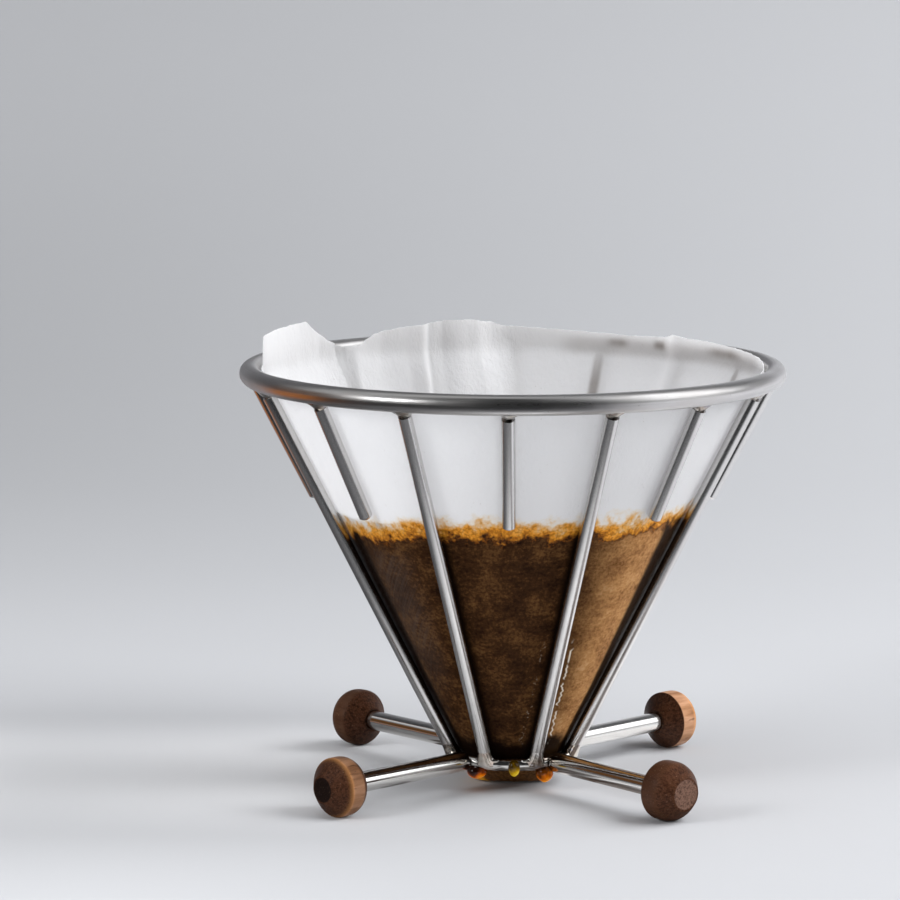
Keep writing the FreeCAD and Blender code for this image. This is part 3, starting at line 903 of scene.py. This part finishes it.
def build_coffee():
    """The body of grounds and water in the paper, with a rough foamy top."""
    wall = 0.55 * MM
    columns = 220
    floor = TIP_HEIGHT + 0.8 * MM
    tip = np.linspace(floor, LOWER_HEIGHT, 6)
    sides = np.concatenate((tip, np.linspace(LOWER_HEIGHT, COFFEE_LEVEL, 30)[1:]))
    rings = []
    for height in sides:
        radius = PAPER_FOOT_RADIUS + max(height - LOWER_HEIGHT, 0) * math.tan(SLANT) - wall
        rings.append((radius, height))
    top_radius = rings[-1][0]
    tops = [(top_radius * share, COFFEE_LEVEL - 0.9 * MM) for share in np.linspace(1, 0, 84)[1:-1]]
    turns = np.linspace(-math.pi, math.pi, columns, endpoint=False)
    points = []
    for radius, height in rings + tops:
        points.extend((radius * math.sin(t), -radius * math.cos(t), height) for t in turns)
    points = np.array(points)
    points = taper_tip(points, wall)
    surface = np.arange(len(points)) >= len(rings) * columns
    spots = points[surface]
    spots[:, 2] += bubble_heights(spots, 900, SEED)
    spots[:, 2] += noise_field(spots * np.array((1, 1, 0)), 140, SEED) * 0.5 * MM
    rim_lift = smooth_step(top_radius - 3.5 * MM, top_radius, np.linalg.norm(spots[:, :2], axis=1))
    spots[:, 2] += rim_lift * 0.5 * MM
    spots[:, 2] = np.minimum(spots[:, 2], COFFEE_LEVEL)
    points[surface] = spots
    faces = wrap_grid(len(rings) + len(tops), columns)
    last = len(points)
    points = np.vstack((points, [[0, 0, floor]], [[0, 0, COFFEE_LEVEL - 0.6 * MM]]))
    tail = last - columns
    for column in range(columns):
        after = (column + 1) % columns
        faces.append((last, after, column))
        faces.append((last + 1, tail + column, tail + after))
    data = mesh_from("coffee_body", points, faces)
    item = add_object("wet_grounds", data, "filter", coffee_material())
    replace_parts(item, "coffee_slurry")


def amber():
    """Strong coffee in drops, with painted light: orange where light would come through, dark at the top."""
    graph = new_material("amber_drop")
    depth = graph.noise(graph.place()[0], 330, 3, 0.5)
    sunk = graph.stored("sunk") + graph.spread(depth, 0.3, 0.7, -0.3, 0.3)
    red = graph.ramp(sunk, [
        (0.2, 0.01, 0.002, 0.001), (0.48, 0.11, 0.018, 0.001), (0.7, 0.62, 0.12, 0.001),
        (0.92, 0.88, 0.3, 0.004),
    ])
    yellow = graph.ramp(sunk, [
        (0.2, 0.04, 0.02, 0.001), (0.45, 0.2, 0.11, 0.001), (0.75, 0.56, 0.33, 0.004),
        (0.95, 0.86, 0.62, 0.05),
    ])
    colour = graph.mix(graph.stored("paleness"), red, yellow)
    return principled(graph, {
        "Base Color": graph.mix(0.75, colour, BLACK),
        "Roughness": graph.spread(depth, 0.3, 0.7, 0.03, 0.08),
        "IOR": 1.34,
        "Specular IOR Level": 0.5,
        # Painted glow: the drops shine by emission, standing in for light that comes through them.
        "Emission Color": colour,
        "Emission Strength": 0.55,
        "Normal": graph.bump(depth, 0.05 * MM, 0.3),
    })


# Drops that cling to the lower ring: turn from the front in degrees, then out from the ring's middle line,
# height of the drop's middle, half width and half height in millimetres, then how pale the drop is.
DROPS = [
    (-34, 0.0, 4.7, 2.4, 1.7, 0.0), (3, 1.2, 6.3, 1.4, 2.0, 1.0),
    (33, 0.2, 4.4, 2.1, 2.1, 0.1), (64, 1.3, 7.4, 0.8, 1.3, 0.8),
]


def drop_mesh(name, half_width, half_height):
    """A drop about its own middle, in millimetres, a little broader above than below."""
    mesh = bmesh.new()
    bmesh.ops.create_icosphere(mesh, subdivisions=4, radius=1)
    for vertex in mesh.verts:
        x, y, level = vertex.co
        full = 1.0 - 0.14 * max(-level, 0) ** 1.5 + 0.12 * max(level, 0)
        vertex.co = Vector((x * full * half_width, y * full * half_width, level * half_height))
    data = bpy.data.meshes.new(name)
    mesh.to_mesh(data)
    mesh.free()
    return data


def build_drops():
    """Hanging drops, broad where they cling and rounded below."""
    material = amber()
    for number, (turn, out, height, half_width, half_height, paleness) in enumerate(DROPS, start=1):
        data = drop_mesh(f"drop_{number}", half_width, half_height)
        angle = math.radians(turn)
        reach = LOWER_RADIUS / MM + out
        spot = np.array((reach * math.sin(angle), -reach * math.cos(angle), height))
        points = places(data)
        points = (points * (1 + 0.05 * noise_field(points, 0.6, number))[:, None] + spot) * MM
        move_vertices(data, points)
        sunk = (height + half_height - points[:, 2] / MM) / (2 * half_height)
        store(data, "sunk", np.clip(sunk, 0, 1))
        store(data, "paleness", np.full(len(points), paleness))
        add_object(f"coffee_drop_{number}", data, "frame", material)


# ---- Welds


def around(turn, radius, height):
    """A point at a turn from +X round the basket's axis."""
    return Vector((radius * math.cos(turn), radius * math.sin(turn), height))


def add_ball(mesh, centre, radii, frame_matrix):
    """An ellipsoid in a frame of its own."""
    matrix = Matrix.Translation(centre) @ frame_matrix.to_4x4() @ Matrix.Diagonal((*radii, 1))
    bmesh.ops.create_icosphere(mesh, subdivisions=3, radius=1, matrix=matrix)


def add_neck(mesh, begin, finish, side, sizes):
    """An oval neck between two points, with its half width and half depth at each of several even steps."""
    line = finish - begin
    deep = line.cross(side).normalized()
    columns = 24
    loops = []
    for index, (width, depth) in enumerate(sizes):
        centre = begin + line * index / (len(sizes) - 1)
        turns = [2 * math.pi * k / columns for k in range(columns)]
        spots = [centre + side * width * math.cos(t) + deep * depth * math.sin(t) for t in turns]
        loops.append([mesh.verts.new(spot) for spot in spots])
    for lower, upper in zip(loops, loops[1:]):
        for k in range(columns):
            after = (k + 1) % columns
            mesh.faces.new((lower[k], lower[after], upper[after], upper[k]))
    mesh.faces.new(list(reversed(loops[0])))
    mesh.faces.new(loops[-1])


def melt(name, mesh, voxel, roughen, seed, material, shaded_notch_spots=()):
    """Fuse lumps into one skin, soften and roughen it a little, and mark the dark notch spots: heat tint
    with painted shade.
    """
    data = bpy.data.meshes.new(name)
    mesh.to_mesh(data)
    mesh.free()
    item = new_object(name, data)
    skin = item.modifiers.new("skin", "REMESH")
    skin.mode = "VOXEL"
    skin.voxel_size = voxel
    soften = item.modifiers.new("soften", "SMOOTH")
    soften.iterations = 4
    soften.factor = 0.6
    depsgraph = bpy.context.evaluated_depsgraph_get()
    melted = bpy.data.meshes.new_from_object(item.evaluated_get(depsgraph))
    bpy.data.objects.remove(item)
    points = places(melted)
    normals = np.array([vertex.normal for vertex in melted.vertices])
    shift = noise_field(points, 520, seed) * roughen + noise_field(points, 1500, seed + 1) * roughen * 0.4
    move_vertices(melted, points + normals * shift[:, None])
    notch_tint_and_shade = np.zeros(len(points))
    for spot, reach in shaded_notch_spots:
        away = np.linalg.norm(points - np.array(spot), axis=1)
        notch_tint_and_shade = np.maximum(notch_tint_and_shade, 1 - smooth_step(reach * 0.45, reach, away))
    store(melted, "notch_tint_and_shade", notch_tint_and_shade)
    return add_object(name, melted, "frame", material)


def rib_line(turn):
    """The point where a rib's middle line meets the top ring's, and the direction down the rib."""
    head = around(turn, RING_RADIUS, RING_HEIGHT)
    foot = around(turn, LOWER_RADIUS, LOWER_HEIGHT)
    return head, (foot - head).normalized()


def in_metres(sizes, widen=1.0):
    """Half widths and half depths of a neck, given in millimetres."""
    return [(width * widen * MM, depth * MM) for width, depth in sizes]


def build_head_welds(material):
    """Flared necks between the ribs' flat ends and the ring, each a little different."""
    random.seed(SEED + 20)
    mesh = bmesh.new()
    gap_end = RING_ROD + 1.35 * MM
    sizes = [(4.3, 1.9), (3.5, 1.9), (2.7, 1.8), (2.1, 1.65), (1.76, 1.5), (1.62, 1.36), (1.52, 1.28)]
    shaded_notch_spots = []
    for turn in LONG_RIBS + SHORT_RIBS:
        head, down = rib_line(turn)
        side = Vector((-math.sin(turn), math.cos(turn), 0))
        lean = random.uniform(-0.35, 0.35) * MM
        widen = random.uniform(0.9, 1.12)
        inward = -side.cross(down)
        inward = inward if inward.dot(head) < 0 else -inward
        start = head + down * (RING_ROD * 0.5) + side * lean
        finish = head + down * gap_end + inward * random.uniform(0.1, 0.26) * MM
        add_neck(mesh, start, finish, side, in_metres(sizes, widen))
        # A dark spot in the notch above the rib's flat end: heat tint with painted shade.
        shaded_notch_spots.append((finish - inward * 1.3 * MM - down * 0.3 * MM + side * lean, 0.95 * MM))
    return melt("head_welds", mesh, 0.17 * MM, 0.035 * MM, SEED + 21, material, shaded_notch_spots)


def build_foot_welds(material):
    """Splayed lumps where the long ribs stand on the lower ring."""
    random.seed(SEED + 30)
    mesh = bmesh.new()
    sizes = in_metres([(1.5, 1.5), (1.62, 1.62), (1.74, 1.68), (1.95, 1.74), (2.35, 1.8), (3.0, 1.85)])
    for turn in LONG_RIBS:
        down = rib_line(turn)[1]
        outer = Vector((math.cos(turn), math.sin(turn), 0))
        side = Vector((-math.sin(turn), math.cos(turn), 0))
        turned = Matrix((side, outer, UP)).transposed()
        foot = around(turn, LOWER_RADIUS, LOWER_HEIGHT)
        for way in (-1, 1):
            spot = foot + side * way * random.uniform(1.9, 2.6) * MM + UP * 0.9 * MM + outer * 0.3 * MM
            size = random.uniform(0.7, 1.05) * MM
            add_ball(mesh, spot, (1.5 * size, 1.2 * size, 0.85 * size), turned)
        start = foot - down * 4.6 * MM + outer * 0.06 * MM
        add_neck(mesh, start, foot - down * 0.2 * MM + outer * 0.12 * MM, side, sizes)
    return melt("foot_welds", mesh, 0.16 * MM, 0.06 * MM, SEED + 31, material)


def build_leg_welds(material):
    """Plugs of weld between the legs' flat ends and the lower ring."""
    centre = UP * LOWER_HEIGHT
    for index, side_name in enumerate(SIDES):
        random.seed(SEED + 40 + index)
        mesh = bmesh.new()
        outer = outward(f"leg_{side_name}")
        side = Vector((-outer.y, outer.x, 0))
        turned = Matrix((side, outer, UP)).transposed()
        start = reach_along(f"leg_{side_name}", outer)[0]
        inner_end = centre + outer * (LOWER_RADIUS + 0.6 * MM)
        outer_end = centre + outer * (start + 0.25 * MM)
        add_neck(mesh, inner_end, outer_end, side, in_metres([(1.5, 1.5), (1.95, 1.95), (2.15, 2.15)]))
        for _ in range(5):
            spot = centre + outer * (start - random.uniform(0.4, 1.0) * MM)
            spot += side * random.uniform(-1.6, 1.6) * MM + UP * random.uniform(-0.6, 1.5) * MM
            size = random.uniform(0.7, 1.0) * MM
            add_ball(mesh, spot, (0.95 * size, 0.75 * size, 0.85 * size), turned)
        piece = melt(f"leg_plug_{side_name}", mesh, 0.16 * MM, 0.08 * MM, SEED + 50 + index, material)
        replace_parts(piece, f"leg_weld_{side_name}")


# ---- Stage, light and camera


def reflected_floor(graph, x, y):
    """A painted reflection: what the steel sees of the floor, bright close by and at the right, dark far
    off, warm at the left.
    """
    away = graph.distance(x, y)
    azimuth = graph.azimuth(x, y)
    right = graph.turn_ease(azimuth, 28, 62)
    far = graph.mix(right, (0.012, 0.012, 0.013), (0.62, 0.62, 0.64))
    far = graph.mix(graph.turn_ease(azimuth, -88, -128), far, (0.3, 0.3, 0.315))
    far = graph.mix(graph.sector(azimuth, -122, -112, -88, -78), far, (0.4, 0.135, 0.03))
    middle = graph.mix(right, (0.125, 0.125, 0.13), (0.62, 0.62, 0.64))
    far = graph.mix(graph.ease(away, 0.2, 0.13), far, middle)
    close = graph.mix(graph.ease(x, -0.09, 0.04), (0.14, 0.14, 0.145), (0.95, 0.95, 0.96))
    streaks = graph.noise(graph.combine(x, y * 0.35, 0.0), 85, 2, 0.5)
    streaks = graph.ease(streaks, 0.5, 0.58) * graph.ease(away, 0.046, 0.032)
    close = graph.mix(streaks * 0.85, close, (0.035, 0.022, 0.016))
    # Painted shade in the reflection: a brown patch at the front right, close to the basket.
    brown = graph.sector(azimuth, 27, 35, 66, 82) * graph.ease(away, 0.018, 0.026)
    close = graph.mix(brown * 0.85, close, (0.085, 0.058, 0.045))
    return graph.mix(graph.ease(away, 0.112, 0.066), far, close)


def floor_colour(graph):
    """Pale grey, lighter at the left to cancel the dripper's shadow there, and dimmer up the wall."""
    vector, x, y, _ = graph.place()
    colour = graph.mix(graph.noise(vector, 3, 3, 0.5), (0.455, 0.46, 0.475), (0.475, 0.48, 0.495))
    shaded_side = graph.ease(x, 0.0, -0.1) * graph.ease(y, 0.06, 0.0)
    colour = graph.mix(shaded_side, colour, (0.55, 0.555, 0.57))
    shadow = graph.ease(x, 0.0, -0.06) * graph.ease(abs(y - 0.006), 0.07, 0.02)
    shadow = shadow * graph.ease(x, -0.12, -0.05, 0.55, 1.0)
    colour = graph.mix(shadow, colour, (0.86, 0.865, 0.88))
    wall_dim = graph.ease(y, 0.12, 0.5) * graph.ease(x, 0.2, -0.25, 0.05, 0.19)
    wall_dim = wall_dim * graph.ease(y, 0.95, 0.55, 0.3, 1.0)
    colour = graph.mix(wall_dim, colour, BLACK)
    return graph.mix(graph.mirrored(), colour, reflected_floor(graph, x, y))


def build_stage():
    """A pale floor that sweeps up into a wall behind."""
    graph = new_material("studio_sweep")
    look = {"Base Color": floor_colour(graph), "Roughness": 0.85, "Specular IOR Level": 0.15}
    material = principled(graph, look)
    half_width, front, wall, wall_top, bend, steps = 4.0, -2.2, 1.6, 3.4, 1.3, 16
    outline = [(front, 0.0), (wall - bend, 0.0)]
    for k in range(1, steps + 1):
        turn = math.pi / 2 * k / steps
        outline.append((wall - bend + bend * math.sin(turn), bend - bend * math.cos(turn)))
    outline.append((wall, wall_top))
    vertices = [(across, *spot) for across in (-half_width, half_width) for spot in outline]
    count = len(outline)
    faces = [(k, count + k, count + k + 1, k + 1) for k in range(count - 1)]
    data = mesh_from("sweep", vertices, faces)
    data.materials.append(material)
    new_object("studio_sweep", data)


def add_softbox(name, azimuth, elevation, distance, width, tall, power):
    """An area light that faces the dripper. Azimuth is counted from the front towards the right."""
    light = bpy.data.lights.new(name, "AREA")
    light.shape = "RECTANGLE"
    light.size = width
    light.size_y = tall
    light.energy = power
    light.color = (0.975, 0.985, 1.0)
    item = new_object(name, light)
    turn, rise = math.radians(azimuth), math.radians(elevation)
    level = distance * math.cos(rise)
    target = UP * 0.06
    offset = (level * math.sin(turn), -level * math.cos(turn), distance * math.sin(rise))
    item.location = target + Vector(offset)
    item.rotation_euler = (target - item.location).to_track_quat("-Z", "Y").to_euler()
    return item


def room_light(graph):
    """The room's colour and strength: dim, with a warm patch at the left and a window at the right."""
    _, x, y, z = graph.place("Generated")
    azimuth = graph.azimuth(x, y)
    right = graph.turn_ease(azimuth, 28, 70) * graph.turn_ease(azimuth, 179, 120, 0.6, 1.0)
    left = graph.turn_ease(azimuth, -50, -120) * 0.45
    strength = graph.larger(right, left) * 0.62 + 0.03
    high_left = graph.ease(z, 0.42, 0.6) * graph.turn_ease(azimuth, -45, -85)
    strength = high_left * 0.42 + strength
    window = graph.sector(azimuth, 54, 74, 108, 128) * graph.between(z, 0.08, 0.34, 0.8, 0.93)
    strength = window * graph.mirrored() * 1.8 + strength
    warm = graph.sector(azimuth, -112, -102, -86, -76) * graph.between(z, 0.02, 0.08, 0.36, 0.48)
    return graph.mix(warm, (0.97, 0.98, 1.0), (0.58, 0.27, 0.11)), strength


def build_light():
    """A broad key from the upper right, a narrow one at the left, and a dim room in front."""
    world = bpy.data.worlds.new("studio_room")
    bpy.context.scene.world = world
    world.use_nodes = True
    graph = Graph(world.node_tree)
    colour, strength = room_light(graph)
    room = graph.value("ShaderNodeBackground", {"Color": colour, "Strength": strength})
    graph.add("ShaderNodeOutputWorld", {"Surface": room})
    add_softbox("left_strip", -53, 25, 1.5, 0.34, 0.45, 5.7)
    hidden_from_steel = [
        ("key", 90, 40, 1.4, 1.5, 1.0, 34),
        ("left_fill", -62, 25, 1.5, 0.6, 0.45, 5.0),
        ("overhead", -5, 72, 1.3, 1.0, 0.7, 3.5),
        ("front_fill", 14, 3, 1.3, 1.0, 0.12, 4.5),
    ]
    for softbox in hidden_from_steel:
        add_softbox(*softbox).visible_glossy = False


def build_camera():
    """A long lens a little above the ring, turned a little to the dripper's right."""
    camera = bpy.data.cameras.new("camera")
    camera.lens = 158.55
    camera.sensor_width = 36
    camera.clip_end = 20
    item = new_object("camera", camera)
    look_down, look_left = 8.073, 1.81
    item.location = (0.0147, -0.9368, LOWER_HEIGHT + 0.2063)
    item.rotation_euler = (math.radians(90 - look_down), 0, math.radians(look_left))
    bpy.context.scene.camera = item


# ---- The dripper


def build():
    dress_steel()
    for seed, side in enumerate(SIDES, start=1):
        build_knob(side, seed)
    build_paper()
    build_coffee()
    build_drops()
    satin_weld = weld_steel("satin_weld", 0.76, 0.3)
    bright_weld = weld_steel("bright_weld", 1.0, 0.13)
    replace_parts(build_head_welds(satin_weld), "rib_head_welds")
    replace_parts(build_foot_welds(bright_weld), "rib_foot_welds")
    build_leg_welds(bright_weld)
    build_stage()
    build_light()
    build_camera()
    bpy.context.scene.view_settings.view_transform = "Standard"


build()
